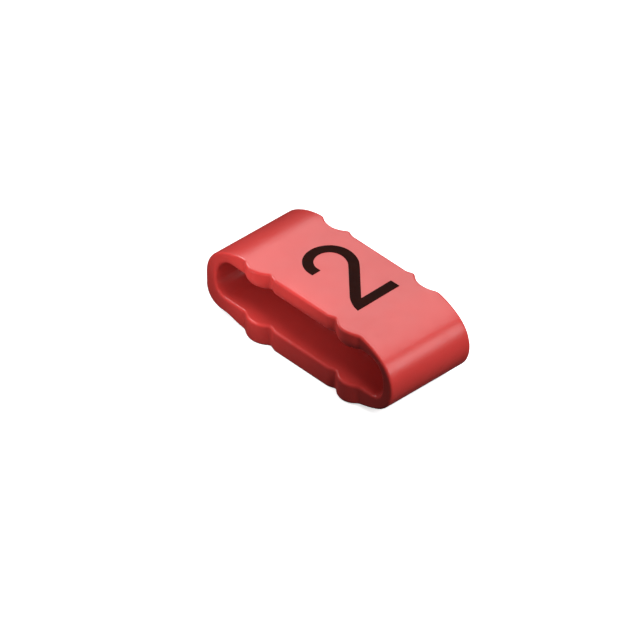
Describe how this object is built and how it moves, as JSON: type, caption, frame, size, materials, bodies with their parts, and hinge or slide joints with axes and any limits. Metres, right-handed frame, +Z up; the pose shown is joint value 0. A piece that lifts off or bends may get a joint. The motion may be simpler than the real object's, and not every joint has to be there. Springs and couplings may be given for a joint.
{
  "type": "cable marker",
  "caption": "Slip-on cable marker: a flattened soft plastic sleeve with a wide flat passage for a cable tie, keyed front and back edges, and a printed digit on its top face.",
  "frame": {"origin": "on the table, under the middle of the sleeve's bounding box", "axes": "+X along the sleeve's wide side, +Y along the tie passage from the tabs to the notches, +Z up through the printed face"},
  "size_m": [0.0114, 0.0048, 0.0038],
  "materials": {
    "sleeve": "satin soft PVC, red through and through",
    "print": "black print ink on the top face"
  },
  "bodies": {
    "root": {"marker_sleeve": "sleeve"}
  },
  "joints": []
}
